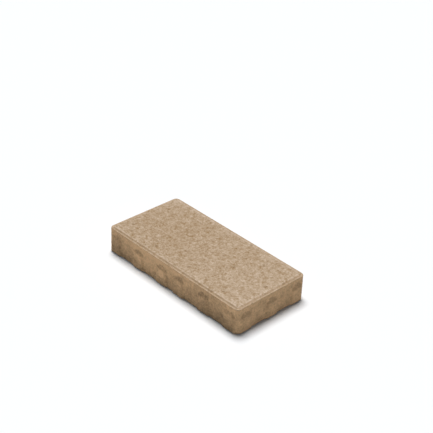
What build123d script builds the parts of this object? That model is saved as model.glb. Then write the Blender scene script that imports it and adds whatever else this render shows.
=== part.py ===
from build123d import *
import os

# Rectangular concrete paving slab, pressed and cast as one piece. Millimetres, +Z up.
# The origin is the centre of the bed face. +X runs along the length of the slab.

# Place that one slab takes up in the paving, measured over its spacer lugs
grid_length = 400.0
grid_width = 200.0

# Height from the bed face to the tread face
thickness = 60.0

# Rounding of the four upright corners
corner_radius = 10.0

# Top edge: a chamfer falls from the tread to a narrow level ledge, which ends in a soft arris
chamfer_width = 2.5
chamfer_depth = 2.0
ledge_width = 3.5
arris_rounding = 1.0

# Spacer lug: it grows out of the side below the ledge, and its flanks spread on their way to the bed
lug_reach = 2.5
lug_foot_width = 32.0
lug_crown_width = 20.0
lug_splay = 3.0
lug_foot_drop = 9.5
lug_crown_drop = 21.0
lug_rim_rounding = 4.0
lug_root_depth = 4.0

# Each side is laid out in equal modules, so that the lugs of neighbouring slabs meet:
# a module has a lug near each end, this far in, and one in its middle
modules_along = 2
modules_across = 1
lug_margin = 26.0

# Sizes that follow from the ones above
body_length = grid_length - 2 * lug_reach
body_width = grid_width - 2 * lug_reach
ledge_height = thickness - chamfer_depth


def slab_outline(inset):
    """Outline of the slab seen from above, drawn in from its sides."""
    return RectangleRounded(body_length - 2 * inset, body_width - 2 * inset, corner_radius - inset)


def slab_body():
    """Block up to the ledge with its soft arris, and the chamfered tread that stands on it."""
    block = extrude(slab_outline(0), ledge_height)
    block = fillet(block.faces().sort_by(Axis.Z)[-1].edges(), arris_rounding)
    chamfer_foot = Pos(0, 0, ledge_height) * slab_outline(ledge_width)
    tread = Pos(0, 0, thickness) * slab_outline(ledge_width + chamfer_width)
    return block + loft([chamfer_foot.face(), tread.face()], ruled=True)


def lug_outline(width, height):
    """Outline of a lug seen from outside: a round head, and flanks that spread from it to the bed line."""
    circle = CenterArc((0, height - width / 2), width / 2, 0, 360)
    toe = width / 2 + lug_splay
    flank = ConstrainedLines(circle.edge(), (toe, 0)).edges().sort_by(Axis.X)[-1]
    shoulder = flank.vertices().sort_by(Axis.Y)[-1]
    head = ThreePointArc((shoulder.X, shoulder.Y), (0, height), (-shoulder.X, shoulder.Y))
    bed_line = Line((-toe, 0), (toe, 0))
    return make_face([bed_line.edge(), flank, head.edge(), mirror(flank, Plane.YZ)])


def spacer_lug():
    """One lug facing -Y: rooted behind the plane y = 0, and sloping from there to a flat crown."""
    foot = Plane.XZ * lug_outline(lug_foot_width, ledge_height - lug_foot_drop)
    crown = Plane.XZ.offset(lug_reach) * lug_outline(lug_crown_width, ledge_height - lug_crown_drop)
    lug = loft([foot.face(), crown.face()], ruled=True)
    rim = lug.faces().sort_by(Axis.Y)[0].edges().sort_by(Axis.Z)[1:]
    return fillet(rim, lug_rim_rounding) + extrude(foot, -lug_root_depth)


def lug_places(side, modules):
    """Places of the lugs along a side, counted from its middle."""
    module = side / modules
    for number in range(modules):
        start = number * module - side / 2
        yield from (start + lug_margin, start + module / 2, start + module - lug_margin)


def lug_locations():
    """Where the lugs stand round the slab: front, right, back and left side in turn."""
    sides = [(grid_length, modules_along, body_width), (grid_width, modules_across, body_length)] * 2
    for quarter, (side, modules, across) in enumerate(sides):
        for place in lug_places(side, modules):
            yield Rot(0, 0, 90 * quarter) * Pos(place, -across / 2, 0)


lug = spacer_lug()
paving_slab = slab_body() + [location * lug for location in lug_locations()]

os.makedirs("parts", exist_ok=True)
export_step(paving_slab, "parts/paving_slab.step")
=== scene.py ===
"""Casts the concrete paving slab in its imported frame, finishes it and sets it on a studio floor."""

import math

import bmesh
import bpy
from bpy.props import FloatProperty, FloatVectorProperty, IntProperty, PointerProperty
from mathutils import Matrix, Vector


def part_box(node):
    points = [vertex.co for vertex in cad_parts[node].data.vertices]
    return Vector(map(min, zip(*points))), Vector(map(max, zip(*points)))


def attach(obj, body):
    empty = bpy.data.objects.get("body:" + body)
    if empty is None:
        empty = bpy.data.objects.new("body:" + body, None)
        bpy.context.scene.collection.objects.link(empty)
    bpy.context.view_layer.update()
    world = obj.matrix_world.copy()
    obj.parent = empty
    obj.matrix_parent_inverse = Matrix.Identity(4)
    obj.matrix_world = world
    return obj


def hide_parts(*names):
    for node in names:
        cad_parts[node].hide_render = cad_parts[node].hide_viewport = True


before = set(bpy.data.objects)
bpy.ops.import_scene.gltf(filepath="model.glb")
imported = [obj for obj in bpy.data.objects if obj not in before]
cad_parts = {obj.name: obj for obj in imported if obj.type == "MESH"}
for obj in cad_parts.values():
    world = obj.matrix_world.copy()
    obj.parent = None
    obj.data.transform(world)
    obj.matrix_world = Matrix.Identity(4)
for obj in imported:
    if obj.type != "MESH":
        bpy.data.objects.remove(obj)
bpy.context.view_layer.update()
NODE = "paving_slab"
SLAB_LOW, SLAB_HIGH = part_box(NODE)

# Marks that the slab's mesh carries for its finish
LUG_HEAD = "lug_head"
LUG_CROWN = "lug_crown"
CORNER = "corner"

# Two places this near each other are the same, in metres
TOUCH = 1e-5

# How far the normal of a level face rises at least, and that of a side at most
LEVEL_RISE = 0.9
SIDE_RISE = 0.1

# Steps that round an upright corner and an edge
CORNER_STEPS = 6
EDGE_STEPS = 2

# Faces that meet at less than this look smooth
SMOOTH_ANGLE = math.radians(60)

bl_info = {
    "name": "Concrete Paving Slab",
    "version": (1, 0, 0),
    "blender": (4, 5, 0),
    "location": "View3D > Sidebar > Paving",
    "description": "Casts a concrete paving slab with spacer lugs and sets it on a studio floor",
    "category": "Add Mesh",
}


def length(name, description, default):
    """A length in metres that a user can change."""
    return FloatProperty(
        name=name, description=description, default=default, min=0, unit="LENGTH", precision=5
    )


def strength(name, description, default):
    """A strength, from none upwards, that a user can change."""
    return FloatProperty(
        name=name, description=description, default=default, min=0, soft_max=1, subtype="FACTOR"
    )


def colour(name, description, default):
    """A colour that a user can change, as linear red, green and blue."""
    return FloatVectorProperty(
        name=name, description=description, default=default, size=3, min=0, max=1, subtype="COLOR"
    )


class SlabSizes(bpy.types.PropertyGroup):
    """Sizes of the cast slab that its box does not give."""

    corner_radius: length("Corner radius", "Rounding of the upright corners", 0.010)
    ledge_width: length("Ledge width", "Level ledge round the tread", 0.0035)
    chamfer_width: length("Chamfer width", "Chamfer between tread and ledge, seen from above", 0.0025)
    chamfer_depth: length("Chamfer depth", "How far the ledge lies below the tread", 0.002)
    arris_rounding: length("Arris rounding", "Rounding of the ledge's outer edge", 0.001)
    bed_rounding: length("Bed rounding", "Wear of the lower edge, round the bed face", 0.003)
    corner_fill: length("Corner fill", "How far the right lower corners stand out past the worn edge", 0.002)
    end_lean: length("End lean", "How far the right end leans in on its way up to the ledge", 0.0016)
    module: length("Module", "Length of side that holds one set of lugs", 0.2)
    lug_margin: length("Lug margin", "From the end of a module to the nearest lug", 0.026)
    lug_reach: length("Lug reach", "How far a spacer lug stands proud of the side", 0.0025)
    lug_foot_width: length("Lug foot width", "Width of a lug where it leaves the side", 0.032)
    lug_crown_width: length("Lug crown width", "Width of the flat crown of a lug", 0.020)
    lug_splay: length("Lug splay", "How far each flank of a lug spreads down to the bed", 0.003)
    lug_foot_drop: length("Lug foot drop", "From the ledge down to the top of a lug's foot", 0.0095)
    lug_crown_drop: length("Lug crown drop", "From the ledge down to the top of a lug's crown", 0.021)
    cells_along: IntProperty(
        name="Cells along", description="Cells of the casting grid along the slab", default=68, min=8
    )


class ConcreteFinish(bpy.types.PropertyGroup):
    """Colours and relief of the concrete."""

    tread_brown: colour("Tread brown", "Darkest sand of the tread", (0.244, 0.127, 0.024))
    tread_cream: colour("Tread cream", "Palest sand of the tread", (0.66, 0.523, 0.398))
    speck: colour("Speck", "Brown specks in the tread", (0.17, 0.09, 0.02))
    side_brown: colour("Side brown", "Darkest skin of the cast sides", (0.265, 0.168, 0.088))
    side_cream: colour("Side cream", "Palest skin of the cast sides", (0.715, 0.453, 0.242))
    # Painted shade: a greyer, darker band along the lower edge of the sides
    bed_shade: colour("Bed edge", "Worn, grey lower edge", (0.31, 0.276, 0.236))
    sand_contrast: strength("Sand contrast", "How much the sand of the tread differs", 0.55)
    grain_contrast: strength("Grain contrast", "How much single grains of sand differ", 0.17)
    tread_clouds: strength("Tread clouds", "Broad pale and dark places in the tread", 0.13)
    speck_strength: strength("Speck strength", "How dark the brown specks are", 0.4)
    rim_paleness: strength("Rim paleness", "How much paler the rim of the tread is", 0.14)
    border_paleness: strength("Border paleness", "How much paler the outer part of the tread is", 0.035)
    # Painted shade on the chamfer
    chamfer_shade: strength("Chamfer skin", "How much of the sides' brown skin the chamfer shows", 0.55)
    arris_skin: strength("Arris skin", "How much of the sides' pale skin the edge of the ledge shows", 0.25)
    skin_contrast: strength("Skin contrast", "How much the skin of the sides differs", 0.5)
    skin_grain: strength("Skin grain", "How much single grains show in the skin of the sides", 0.06)
    side_clouds: strength("Side clouds", "Broad pale and dark places in the sides", 0.64)
    # Paler patches on the crowns of some lugs
    crown_paleness: strength("Lug dust", "How pale the scuffed crowns of the lugs are", 0.35)
    # Darkens ragged patches at the heads of some lugs
    lug_shade: strength("Lug shade", "How dark the loose concrete at the heads of the lugs is", 0.37)
    blowhole_shade: strength("Blowhole shade", "How dark the air holes in the sides are", 0.4)
    # How much of the painted shade along the lower edge shows
    bed_shade_strength: strength("Edge wear", "How much of the grey lower edge shows", 0.7)
    grain_height: length("Grain height", "How far a single grain stands out", 0.0004)
    sand_relief: length("Sand relief", "Height of the lumps of sand on the tread", 0.0004)
    skin_relief: length("Skin relief", "Height of the waves in the side skin", 0.0005)
    pit_depth: length("Pit depth", "Depth of the pits in the tread", 0.0009)
    blowhole_depth: length("Blowhole depth", "Depth of the air holes in the sides", 0.0008)
    rim_wear: length("Rim wear", "How far the chamfer is worn in and out", 0.0006)
    head_hollow: length("Head hollow", "How far the loose concrete at a lug's head falls short", 0.0010)


class StageLook(bpy.types.PropertyGroup):
    """Floor, light and camera."""

    floor: colour("Floor", "Pale studio floor", (0.94, 0.945, 0.95))
    floor_size: length("Floor size", "Side of the studio floor", 40.0)
    overhead_power: FloatProperty(
        name="Overhead power", description="Irradiance of the soft light overhead", default=3.25, min=0
    )
    overhead_spread: FloatProperty(
        name="Overhead spread", description="How wide the light is, seen from the slab",
        default=math.radians(27), subtype="ANGLE",
    )
    overhead_lean: FloatVectorProperty(
        name="Overhead lean", description="Way that the overhead light shines",
        default=(0.295, -0.155, -1.0), subtype="DIRECTION",
    )
    surroundings: colour("Surroundings", "Cool light that the surroundings give", (0.68, 0.84, 1.0))
    backdrop: colour("Backdrop", "Plain backdrop behind the floor", (1.0, 1.0, 1.0))
    horizon_glow: FloatProperty(
        name="Horizon glow", description="Brightness of the low surroundings", default=0.395, min=0
    )
    zenith_glow: FloatProperty(
        name="Zenith glow", description="Brightness of the high surroundings", default=0.07, min=0
    )
    camera_place: FloatVectorProperty(
        name="Camera place", description="Where the camera stands", default=(1.32888, -1.33249, 1.30863),
        subtype="TRANSLATION", unit="LENGTH",
    )
    camera_turn: FloatVectorProperty(
        name="Camera turn", description="How the camera is turned", subtype="EULER",
        default=[math.radians(angle) for angle in (58.1705, -3.0778, 46.2429)],
    )
    lens: FloatProperty(name="Lens", description="Focal length in millimetres", default=89.42, min=1)


def pick(piece, kind, test):
    """Selects, in edit mode, the edges or faces that pass a test, and nothing else."""
    bpy.ops.mesh.select_mode(type=kind)
    bpy.ops.mesh.select_all(action="DESELECT")
    mesh = bmesh.from_edit_mesh(piece.data)
    for element in mesh.edges if kind == "EDGE" else mesh.faces:
        element.select_set(test(element))
    mesh.select_flush_mode()
    bmesh.update_edit_mesh(piece.data)


def apply_modifier(piece, kind, **settings):
    """Adds a modifier with its settings and applies it."""
    modifier = piece.modifiers.new(kind.lower(), kind)
    for name, value in settings.items():
        setattr(modifier, name, value)
    bpy.ops.object.modifier_apply(modifier=modifier.name)


def is_upright(edge):
    """True for an edge that runs from the bed up to the ledge."""
    run = edge.verts[0].co - edge.verts[1].co
    return abs(run.z) > run.xy.length


def is_arris(edge, height):
    """True for an edge of a side that runs level at one height."""
    level = all(abs(corner.co.z - height) < TOUCH for corner in edge.verts)
    return level and any(abs(face.normal.z) < SIDE_RISE for face in edge.link_faces)


def round_edges(piece, test, radius, steps):
    """Rounds the edges that pass a test, in edit mode."""
    pick(piece, "EDGE", test)
    bpy.ops.mesh.bevel(offset=radius, segments=steps, profile=0.5, affect="EDGES")


def cast_block(sizes):
    """The slab without its lugs: a cube with a leaning right end, then corners, ledge, chamfer and edges."""
    reach = Vector((sizes.lug_reach, sizes.lug_reach, 0))
    low = SLAB_LOW + reach
    high = SLAB_HIGH - reach - Vector((0, 0, sizes.chamfer_depth))
    bpy.ops.object.select_all(action="DESELECT")
    bpy.ops.mesh.primitive_cube_add(size=1, location=(low + high) / 2, scale=high - low)
    slab = bpy.context.object
    slab.name = slab.data.name = "cast_slab"
    bpy.ops.object.transform_apply(location=True, rotation=False, scale=True)
    bpy.ops.object.mode_set(mode="EDIT")
    pick(slab, "EDGE", lambda edge: all((high - corner.co).xz.length < TOUCH for corner in edge.verts))
    bpy.ops.transform.translate(value=(-sizes.end_lean, 0, 0))
    round_edges(slab, is_upright, sizes.corner_radius, CORNER_STEPS)
    pick(slab, "FACE", lambda face: face.normal.z > LEVEL_RISE)
    bpy.ops.mesh.inset(thickness=sizes.ledge_width, depth=0)
    bpy.ops.mesh.inset(thickness=sizes.chamfer_width, depth=sizes.chamfer_depth)
    round_edges(slab, lambda edge: is_arris(edge, high.z), sizes.arris_rounding, EDGE_STEPS)
    round_edges(slab, lambda edge: is_arris(edge, low.z), sizes.bed_rounding, EDGE_STEPS)
    bpy.ops.object.mode_set(mode="OBJECT")
    return slab


def cut_cells(slab, cells_along):
    """Cuts the block into even cells, with coarse ones under the bed face, and splits each cell twice."""
    low, high = Vector(slab.bound_box[0]), Vector(slab.bound_box[6])
    size = high - low
    cell = size.x / cells_along
    snap = cell / 16
    cells_per_coarse_cell = 4
    splits = 2
    cuts = []
    for axis in range(3):
        count = round(size[axis] / cell)
        normal = Vector([float(axis == other) for other in range(3)])
        for number in range(1, count):
            is_coarse = number % cells_per_coarse_cell == 0
            cuts.append((low + normal * size[axis] * number / count, normal, is_coarse))
    bpy.ops.object.mode_set(mode="EDIT")
    for coarse in (True, False):
        for place, normal, is_coarse in cuts:
            if coarse == is_coarse:
                bpy.ops.mesh.select_all(action="SELECT")
                bpy.ops.mesh.bisect(plane_co=place, plane_no=normal, threshold=snap)
        if coarse:
            pick(slab, "FACE", lambda face: face.normal.z < -LEVEL_RISE)
            bpy.ops.mesh.hide(unselected=False)
    bpy.ops.mesh.reveal(select=False)
    bpy.ops.object.mode_set(mode="OBJECT")
    apply_modifier(slab, "SUBSURF", subdivision_type="SIMPLE", levels=splits, render_levels=splits)


def lug_places(side, sizes):
    """Places of the lugs along a side, from its middle: two near the ends of each module, one between."""
    for number in range(round(side / sizes.module)):
        start = number * sizes.module - side / 2
        end = start + sizes.module
        yield from (start + sizes.lug_margin, (start + end) / 2, end - sizes.lug_margin)


def lug_climb(along, height, sizes):
    """How far up a lug's slope a place is: 0 at the foot, 1 on the crown and below 0 outside the foot."""
    foot = sizes.lug_foot_width / 2
    flank = foot - sizes.lug_crown_width / 2
    head = sizes.lug_crown_drop - sizes.lug_foot_drop
    shoulder = SLAB_HIGH.z - sizes.chamfer_depth - sizes.lug_foot_drop - foot
    foot += sizes.lug_splay * max(1 - height / shoulder, 0)
    rise = max(height - shoulder, 0)
    out = max(math.hypot(along, rise), TOUCH)
    slope = flank + (head - flank) * rise / out
    return min((foot - out) / slope, 1)


def smooth_step(value, low, high):
    """Goes softly from 0 at one value to 1 at another."""
    step = min(max((value - low) / (high - low), 0), 1)
    return step * step * (3 - 2 * step)


def right_corner(place, axis, sizes):
    """How far out a place lies in a right corner's rounding, along an axis and beside it; 0 elsewhere."""
    ring = sizes.corner_radius - sizes.bed_rounding
    out, beside = (
        (abs(place[way]) - SLAB_HIGH[way] + sizes.lug_reach + sizes.corner_radius) / ring
        for way in (axis, 1 - axis)
    )
    return (out, beside) if place.x > 0 and min(out, beside) > 0 else (0, 0)


def corner_swell(place, axis, sizes):
    """How far a right corner swells along an axis close to the bed, as a share of a lug's reach."""
    out, beside = right_corner(place, axis, sizes)
    fade = 6
    low = max(1 - place.z / sizes.bed_rounding, 0) ** fade
    return 2 * out * out * beside * low * sizes.corner_fill / sizes.lug_reach


def finish_marks(place, along, axis, sizes):
    """Marks of a place on a side that lies this far along from the middle of the nearest lug."""
    crown = sizes.lug_crown_width / 2
    above = place.z - (SLAB_HIGH.z - sizes.chamfer_depth - sizes.lug_crown_drop)
    near_lug = smooth_step(lug_climb(along, place.z, sizes), low=-0.3, high=0.1)
    from_middle = math.hypot(along, above + crown) / crown
    out, beside = right_corner(place, axis, sizes)
    return {
        LUG_HEAD: near_lug * smooth_step(above, low=-0.001, high=0.002),
        LUG_CROWN: 1 - smooth_step(from_middle, low=0.6, high=1.2),
        CORNER: min(2 * out * beside, 1),
    }


def swell_lugs(slab, sizes):
    """Swells the lugs and the right lower corners out of the sides, and marks the mesh for its finish."""
    marks = {name: [0.0] * len(slab.data.vertices) for name in (LUG_HEAD, LUG_CROWN, CORNER)}
    for axis, name in enumerate("XY"):
        wall = SLAB_HIGH[axis] - sizes.lug_reach - sizes.corner_radius
        places = list(lug_places((SLAB_HIGH - SLAB_LOW)[1 - axis], sizes))
        for sign in (-1, 1):
            group = slab.vertex_groups.new(name=f"lugs_{name}_{sign}")
            for vertex in slab.data.vertices:
                if vertex.co[axis] * sign <= wall:
                    continue
                along = min((vertex.co[1 - axis] - place for place in places), key=abs)
                swell = smooth_step(lug_climb(along, vertex.co.z, sizes), 0, 1)
                swell += corner_swell(vertex.co, axis, sizes)
                if swell > 0:
                    group.add([vertex.index], swell, "REPLACE")
                for mark, value in finish_marks(vertex.co, along, axis, sizes).items():
                    marks[mark][vertex.index] = value
            apply_modifier(
                slab, "DISPLACE", direction=name, strength=sign * sizes.lug_reach, mid_level=0,
                vertex_group=group.name,
            )
    for mark, values in marks.items():
        slab.data.attributes.new(mark, "FLOAT", "POINT").data.foreach_set("value", values)


class NodeBench:
    """Adds nodes to a tree and joins them, for the shader and the relief alike."""

    def __init__(self, tree, place):
        self.tree = tree
        self.place = place
        self.across = self.node("ShaderNodeSeparateXYZ", {"Vector": place}).outputs
        self.height = self.across["Z"]

    def node(self, kind, values, **settings):
        """A node with its settings, and with a value or another node's output at some of its sockets."""
        node = self.tree.nodes.new(kind)
        for name, value in settings.items():
            setattr(node, name, value)
        for socket, value in values.items():
            if isinstance(value, bpy.types.NodeSocket):
                self.tree.links.new(value, node.inputs[socket])
            else:
                node.inputs[socket].default_value = value
        return node

    def math(self, operation, *values):
        """One step of arithmetic."""
        return self.node("ShaderNodeMath", dict(enumerate(values)), operation=operation).outputs[0]

    def times(self, first, second):
        """One pattern times another, or times a number."""
        return self.math("MULTIPLY", first, second)

    def total(self, start, *parts):
        """A start plus patterns, each times its strength."""
        for pattern, weight in parts:
            start = self.math("MULTIPLY_ADD", pattern, weight, start)
        return start

    def ramp(self, value, low, high, start=0.0, end=1.0):
        """Goes softly from a start to an end while a value goes from low to high."""
        values = {"Value": value, "From Min": low, "From Max": high, "To Min": start, "To Max": end}
        return self.node("ShaderNodeMapRange", values, interpolation_type="SMOOTHSTEP").outputs["Result"]

    def band(self, value, low, high, softness):
        """1 while a value lies between low and high, with soft ends."""
        rise = self.ramp(value, low - softness, low + softness)
        return self.times(rise, self.ramp(value, high + softness, high - softness))

    def noise(self, size, pattern, detail=2, roughness=0.5):
        """Cloudy noise about its middle, from -1 to 1, with lumps of one size in metres."""
        values = {
            "Vector": self.place, "W": pattern, "Scale": 1 / size, "Detail": detail, "Roughness": roughness
        }
        cloud = self.node("ShaderNodeTexNoise", values, noise_dimensions="4D")
        return self.math("MULTIPLY_ADD", cloud.outputs[0], 2.0, -1.0)

    def cells(self, spacing, pattern):
        """Random cells: the distance from a cell's middle, in spacings, and three draws for each cell."""
        place = self.node("ShaderNodeVectorMath", {0: self.place, 1: (pattern, pattern, pattern)}).outputs[0]
        cells = self.node("ShaderNodeTexVoronoi", {"Vector": place, "Scale": 1 / spacing}).outputs
        return cells["Distance"], self.node("ShaderNodeSeparateXYZ", {"Vector": cells["Color"]}).outputs

    def spots(self, spacing, width, chosen, pattern):
        """Uneven round spots, about one in each cell that is chosen: up to 1 in the middle, 0 outside."""
        distance, draw = self.cells(spacing, pattern)
        smallest, largest = 0.3 * width / spacing, 0.6 * width / spacing
        reach = self.ramp(draw["Y"], 0, 1, start=smallest, end=largest)
        uneven = self.total(distance, (self.noise(width / 2, pattern), 0.15))
        spot = self.ramp(self.math("DIVIDE", uneven, reach), 1.0, 0.3)
        deep = self.times(spot, self.ramp(draw["Z"], 0, 1, start=0.4))
        return self.times(deep, self.math("LESS_THAN", draw["X"], chosen))

    def mix(self, share, first, second):
        """A colour between two others."""
        share_socket, first_socket, second_socket, result_socket = 0, 6, 7, 2
        values = {share_socket: share}
        for socket, tone in ((first_socket, first), (second_socket, second)):
            values[socket] = tone if isinstance(tone, bpy.types.NodeSocket) else (*tone, 1)
        return self.node("ShaderNodeMix", values, data_type="RGBA").outputs[result_socket]

    def mark(self, name):
        """A mark that the mesh carries."""
        if self.tree.type == "SHADER":
            return self.node("ShaderNodeAttribute", {}, attribute_name=name).outputs["Fac"]
        return self.node("GeometryNodeInputNamedAttribute", {"Name": name}).outputs["Attribute"]

    def tread(self):
        """1 on the tread, its chamfer and the ledge, 0 on the sides."""
        ledge = SLAB_HIGH.z - bpy.context.scene.slab_sizes.chamfer_depth
        skin_fade = 0.002
        return self.ramp(self.height, ledge - skin_fade, ledge)

    def beyond_tread(self):
        """How far a place lies outside the tread's edge, seen from above: below 0 on the tread."""
        sizes = bpy.context.scene.slab_sizes
        edge = sizes.lug_reach + sizes.ledge_width + sizes.chamfer_width
        right = self.math("ADD", self.across["X"], sizes.end_lean)
        left = self.times(self.across["X"], -1.0)
        x = self.math("SUBTRACT", self.math("MAXIMUM", right, left), SLAB_HIGH.x - edge)
        y = self.math("SUBTRACT", self.math("ABSOLUTE", self.across["Y"]), SLAB_HIGH.y - edge)
        return self.math("MAXIMUM", x, y)

    def on_tread(self, beyond, rest):
        """1 on the tread and its chamfer, and a smaller rest on the ledge."""
        ledge = bpy.context.scene.slab_sizes.chamfer_width
        inside, outside = 0.0005, 0.001
        return self.ramp(beyond, ledge - inside, ledge + outside, start=1.0, end=rest)

    def at_ends(self):
        """1 at the two short ends of the slab, 0 between them."""
        corner = SLAB_HIGH.x - bpy.context.scene.slab_sizes.corner_radius
        before, after = 0.004, 0.001
        return self.ramp(self.math("ABSOLUTE", self.across["X"]), corner - before, corner + after)

    def by_ends(self, sides, ends):
        """One value on the long sides of the slab, another at its ends."""
        return self.ramp(self.at_ends(), 0, 1, start=sides, end=ends)

    def grains(self):
        """Single grains of sand: the tone of each, from -1 to 1, and how high it stands, from 0 to 1."""
        distance, draw = self.cells(spacing=0.0016, pattern=8)
        return self.math("MULTIPLY_ADD", draw["X"], 2.0, -1.0), self.ramp(distance, 0.8, 0.0)

    def sand(self):
        """Lumps of sand in the tread, about -1 to 1, with smaller ones on them."""
        lumps = self.noise(size=0.009, pattern=1, detail=3, roughness=0.6)
        crumbs = self.noise(size=0.005, pattern=2, detail=1)
        return self.total(lumps, (crumbs, 0.7))

    def pits(self):
        """Small pits in the tread, brown inside."""
        return self.spots(spacing=0.018, width=0.010, chosen=0.6, pattern=3)

    def specks(self):
        """Uneven brown specks of sand in the tread, level with it."""
        return self.ramp(self.noise(size=0.0075, pattern=9, detail=1), -0.1, -0.55)

    def blowholes(self):
        """Air holes in the sides."""
        return self.spots(spacing=0.022, width=0.009, chosen=0.35, pattern=4)

    def skin(self):
        """Waves and patches of the side skin, about -1 to 1."""
        waves = self.noise(size=0.014, pattern=5, detail=3, roughness=0.55)
        ripples = self.noise(size=0.004, pattern=6)
        return self.total(waves, (ripples, 1.2))


def give_relief(slab, finish):
    """Pushes the surface in and out by grain, pits and the waves of the skin, with a flat bed face."""
    tree = bpy.data.node_groups.new("concrete_relief", "GeometryNodeTree")
    for way in ("INPUT", "OUTPUT"):
        tree.interface.new_socket("Geometry", in_out=way, socket_type="NodeSocketGeometry")
    start = tree.nodes.new("NodeGroupInput")
    end = tree.nodes.new("NodeGroupOutput")
    place = tree.nodes.new("GeometryNodeInputPosition").outputs[0]
    normal = tree.nodes.new("GeometryNodeInputNormal").outputs[0]
    bench = NodeBench(tree, place)

    beyond = bench.beyond_tread()
    sand = bench.times(bench.sand(), bench.on_tread(beyond, rest=0.4))
    wear = bench.band(beyond, low=-0.0015, high=0.003, softness=0.001)
    wear = bench.times(wear, bench.noise(size=0.007, pattern=10))
    grain = bench.total(
        0.0, (sand, finish.sand_relief), (bench.pits(), -finish.pit_depth), (wear, finish.rim_wear)
    )
    ragged = bench.noise(size=0.006, pattern=7, detail=3, roughness=0.6)
    loose = bench.times(bench.mark(LUG_HEAD), bench.total(1.0, (ragged, 1.0)))
    skin = bench.total(
        0.0, (bench.skin(), finish.skin_relief), (bench.blowholes(), -finish.blowhole_depth),
        (loose, -finish.head_hollow),
    )
    relief = bench.total(skin, (bench.math("SUBTRACT", grain, skin), bench.tread()))

    push = bench.node("ShaderNodeVectorMath", {0: normal, "Scale": relief}, operation="SCALE").outputs[0]
    flat_height = 0.001
    above_bed = bench.ramp(bench.height, 0, flat_height)
    lift = bench.node("ShaderNodeCombineXYZ", {"X": 1.0, "Y": 1.0, "Z": above_bed}).outputs[0]
    push = bench.node("ShaderNodeVectorMath", {0: push, 1: lift}, operation="MULTIPLY").outputs[0]
    moved = bench.node("GeometryNodeSetPosition", {"Geometry": start.outputs[0], "Offset": push})
    tree.links.new(moved.outputs[0], end.inputs[0])
    apply_modifier(slab, "NODES", node_group=tree)


def sand_colour(bench, finish, sand, grains, beyond):
    """Sandy beige with broad clouds, paler towards its border, and a patchy pale rim on the long sides."""
    clouds = bench.noise(size=0.2, pattern=92, detail=1)
    sand = bench.times(sand, bench.on_tread(beyond, rest=0.5))
    patchy = bench.total(1.0, (bench.noise(size=0.012, pattern=12), 1.0))
    patchy = bench.times(patchy, bench.by_ends(sides=1.0, ends=0.0))
    rim = bench.times(bench.band(beyond, low=-0.004, high=0.0, softness=0.0015), patchy)
    border = bench.ramp(beyond, low=-0.045, high=-0.005)
    share = bench.total(
        0.5, (sand, finish.sand_contrast), (grains, finish.grain_contrast), (clouds, finish.tread_clouds),
        (rim, finish.rim_paleness), (border, finish.border_paleness),
    )
    return bench.mix(share, finish.tread_brown, finish.tread_cream)


def tread_colour(bench, finish, sand, grains):
    """Sand with brown pits and specks, painted shade on the chamfer, darker on the long sides than at the
    ends, and the sides' pale skin at the edge of the ledge.
    """
    sizes = bpy.context.scene.slab_sizes
    beyond = bench.beyond_tread()
    sandy = sand_colour(bench, finish, sand, grains, beyond)
    # Painted shade on the chamfer: darker brown on the long sides, paler at the ends
    end_chamfer_tone = bench.mix(bench.by_ends(sides=0.0, ends=0.35), finish.side_cream, finish.tread_cream)
    paleness = bench.by_ends(sides=0.25, ends=0.95)
    paleness = bench.total(paleness, (bench.noise(size=0.012, pattern=13), 0.4))
    skin = bench.mix(paleness, finish.side_brown, end_chamfer_tone)
    chamfer = bench.band(beyond, low=0.0, high=sizes.chamfer_width, softness=0.0005)
    sandy = bench.mix(bench.times(chamfer, finish.chamfer_shade), sandy, skin)
    ledge_end = sizes.chamfer_width + sizes.ledge_width
    arris_width, overlap = 0.0025, 0.0005
    arris = bench.ramp(beyond, ledge_end - arris_width, ledge_end - overlap)
    sandy = bench.mix(bench.times(arris, finish.arris_skin), sandy, finish.side_cream)
    dark = bench.math("MAXIMUM", bench.pits(), bench.specks())
    return bench.mix(bench.times(dark, finish.speck_strength), sandy, finish.speck)


def dark_lug_heads(bench):
    """Ragged darker patches at the heads of some lugs, hardly any of them at the ends of the slab."""
    chosen = bench.ramp(bench.noise(size=0.09, pattern=90, detail=1), 0.0, 0.27, start=0.25)
    chosen = bench.times(chosen, bench.by_ends(sides=1.0, ends=0.1))
    ragged = bench.noise(size=0.012, pattern=7, detail=3, roughness=0.6)
    ragged = bench.ramp(ragged, -0.5, 0.3, start=0.75)
    return bench.times(bench.times(bench.mark(LUG_HEAD), chosen), ragged)


def pale_lug_crowns(bench):
    """Pale patches on the crowns of some lugs."""
    chosen = bench.ramp(bench.noise(size=0.09, pattern=98, detail=1), 0.0, 0.35)
    return bench.times(bench.mark(LUG_CROWN), chosen)


def painted_light_by_height(bench):
    """Painted light and shade on the skin by its height: the long sides paler all the way up and darker
    towards the bed, the ends nearly even, with painted light at the foot and just below the ledge.
    """
    # Painted shade: the long sides darker towards the bed face
    rising = bench.ramp(bench.height, 0, SLAB_HIGH.z, start=-0.37, end=0.3)
    # Painted light: the ends paler at the foot and just below the ledge
    foot_height = 0.012
    even = bench.ramp(bench.height, 0, foot_height, start=0.5, end=0.14)
    shoulder_low, shoulder_high = 0.044, 0.054
    even = bench.total(even, (bench.ramp(bench.height, shoulder_low, shoulder_high), 0.1))
    return bench.total(rising, (bench.math("SUBTRACT", even, rising), bench.at_ends()))


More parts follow.
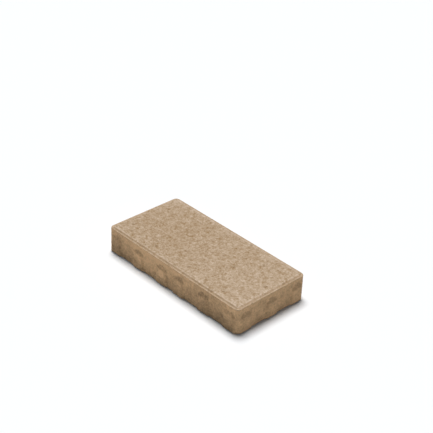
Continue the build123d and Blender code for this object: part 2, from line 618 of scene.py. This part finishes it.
def side_colour(bench, finish, grains):
    """Browner cast skin with broad clouds, pale lug crowns, darker lug heads, painted light and shade by
    height and a painted grey shade along the lower edge.
    """
    clouds = bench.noise(size=0.2, pattern=159, detail=1)
    clouds = bench.times(clouds, bench.by_ends(sides=1.0, ends=0.4))
    share = bench.total(
        0.5, (bench.skin(), finish.skin_contrast), (grains, finish.skin_grain), (clouds, finish.side_clouds),
        (painted_light_by_height(bench), 1.0), (pale_lug_crowns(bench), finish.crown_paleness),
        (dark_lug_heads(bench), -finish.lug_shade), (bench.blowholes(), -finish.blowhole_shade),
    )
    skin = bench.mix(share, finish.side_brown, finish.side_cream)
    # Painted shade: the lowest few millimetres of the sides turn dark grey, less at the ends and not at the
    # right corners' roundings
    end_shade_spared = 0.6
    shade_spared = bench.math("MAXIMUM", bench.mark(CORNER), bench.times(bench.at_ends(), end_shade_spared))
    shade_top_height, full_shade_height = 0.004, 0.001
    edge = bench.ramp(bench.height, shade_top_height, full_shade_height)
    worn = bench.times(edge, bench.ramp(shade_spared, 0, 1, start=finish.bed_shade_strength, end=0.0))
    return bench.mix(worn, skin, finish.bed_shade)


def concrete(finish):
    """Sandy beige concrete with brown specks on the tread, and a browner cast skin on the sides."""
    material = bpy.data.materials.new("concrete")
    material.use_nodes = True
    tree = material.node_tree
    shader = tree.nodes["Principled BSDF"]
    bench = NodeBench(tree, tree.nodes.new("ShaderNodeTexCoord").outputs["Object"])
    sand = bench.sand()
    grains, domes = bench.grains()
    blend = bench.mix(
        bench.tread(), side_colour(bench, finish, grains), tread_colour(bench, finish, sand, grains)
    )
    tree.links.new(blend, shader.inputs["Base Color"])
    roughness = bench.ramp(sand, -0.6, 0.6, start=0.8, end=0.95)
    tree.links.new(roughness, shader.inputs["Roughness"])
    shader.inputs["Specular IOR Level"].default_value = 0.25
    bump = bench.node("ShaderNodeBump", {"Height": domes, "Strength": 0.5, "Distance": finish.grain_height})
    tree.links.new(bump.outputs[0], shader.inputs["Normal"])
    return material


class PAVING_OT_cast_slab(bpy.types.Operator):
    """Cast the slab with its spacer lugs, give it its sandy relief and finish it as concrete"""

    bl_idname = "paving.cast_slab"
    bl_label = "Cast Slab"

    def execute(self, context):
        sizes = context.scene.slab_sizes
        finish = context.scene.concrete_finish
        slab = cast_block(sizes)
        cut_cells(slab, sizes.cells_along)
        swell_lugs(slab, sizes)
        give_relief(slab, finish)
        bpy.ops.object.shade_smooth_by_angle(angle=SMOOTH_ANGLE)
        slab.data.materials.append(concrete(finish))
        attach(slab, "root")
        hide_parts(NODE)
        return {"FINISHED"}


def lay_floor(look):
    """A large pale floor."""
    bpy.ops.object.select_all(action="DESELECT")
    bpy.ops.mesh.primitive_plane_add(size=look.floor_size)
    floor = bpy.context.object
    floor.name = "studio_floor"
    material = bpy.data.materials.new("studio_floor")
    material.use_nodes = True
    shader = material.node_tree.nodes["Principled BSDF"]
    shader.inputs["Base Color"].default_value = (*look.floor, 1)
    shader.inputs["Roughness"].default_value = 1.0
    floor.data.materials.append(material)


def hang_light(look):
    """A wide soft light overhead."""
    bpy.ops.object.light_add(type="SUN")
    light = bpy.context.object
    light.name = "overhead_light"
    light.data.energy = look.overhead_power
    light.data.angle = look.overhead_spread
    light.rotation_euler = Vector(look.overhead_lean).to_track_quat("-Z", "Y").to_euler()


def set_surroundings(look):
    """Cool surroundings that glow most near the horizon, behind a plain pale backdrop."""
    world = bpy.data.worlds.new("surroundings")
    world.use_nodes = True
    nodes, links = world.node_tree.nodes, world.node_tree.links
    way = nodes.new("ShaderNodeTexCoord")
    height = nodes.new("ShaderNodeSeparateXYZ")
    links.new(way.outputs["Generated"], height.inputs[0])
    glow = nodes.new("ShaderNodeMapRange")
    high_up = 0.6
    glow.inputs["From Max"].default_value = high_up
    glow.inputs["To Min"].default_value = look.horizon_glow
    glow.inputs["To Max"].default_value = look.zenith_glow
    links.new(height.outputs["Z"], glow.inputs["Value"])
    light = nodes["Background"]
    light.inputs["Color"].default_value = (*look.surroundings, 1)
    links.new(glow.outputs["Result"], light.inputs["Strength"])
    backdrop = nodes.new("ShaderNodeBackground")
    backdrop.inputs["Color"].default_value = (*look.backdrop, 1)
    ray = nodes.new("ShaderNodeLightPath")
    seen = nodes.new("ShaderNodeMixShader")
    links.new(ray.outputs["Is Camera Ray"], seen.inputs["Fac"])
    links.new(light.outputs[0], seen.inputs[1])
    links.new(backdrop.outputs[0], seen.inputs[2])
    links.new(seen.outputs[0], nodes["World Output"].inputs["Surface"])
    bpy.context.scene.world = world


def set_camera(look):
    """The camera at the viewing angle, looking down on the front corner."""
    bpy.ops.object.camera_add(location=look.camera_place, rotation=look.camera_turn)
    camera = bpy.context.object
    camera.data.lens = look.lens
    bpy.context.scene.camera = camera
    bpy.context.scene.view_settings.view_transform = "Standard"


class PAVING_OT_build_stage(bpy.types.Operator):
    """Lay the pale floor, hang the soft light and set up the camera"""

    bl_idname = "paving.build_stage"
    bl_label = "Build Stage"

    def execute(self, context):
        look = context.scene.stage_look
        lay_floor(look)
        hang_light(look)
        set_surroundings(look)
        set_camera(look)
        return {"FINISHED"}


class PAVING_PT_panel(bpy.types.Panel):
    """Lists the steps and the values that they read"""

    bl_idname = "PAVING_PT_panel"
    bl_label = "Concrete Paving Slab"
    bl_space_type = "VIEW_3D"
    bl_region_type = "UI"
    bl_category = "Paving"

    def draw(self, context):
        steps = {
            PAVING_OT_cast_slab: ("slab_sizes", "concrete_finish"),
            PAVING_OT_build_stage: ("stage_look",),
        }
        for step, groups in steps.items():
            self.layout.operator(step.bl_idname)
            for group in groups:
                values = getattr(context.scene, group)
                for name in values.bl_rna.properties.keys():
                    if name not in ("rna_type", "name"):
                        self.layout.prop(values, name)


CLASSES = (SlabSizes, ConcreteFinish, StageLook, PAVING_OT_cast_slab, PAVING_OT_build_stage, PAVING_PT_panel)
GROUPS = {"slab_sizes": SlabSizes, "concrete_finish": ConcreteFinish, "stage_look": StageLook}


def register():
    for part in CLASSES:
        bpy.utils.register_class(part)
    for name, group in GROUPS.items():
        setattr(bpy.types.Scene, name, PointerProperty(type=group))


def unregister():
    for name in GROUPS:
        delattr(bpy.types.Scene, name)
    for part in reversed(CLASSES):
        bpy.utils.unregister_class(part)


def main():
    register()
    bpy.ops.paving.cast_slab()
    bpy.ops.paving.build_stage()


if __name__ == "__main__":
    main()
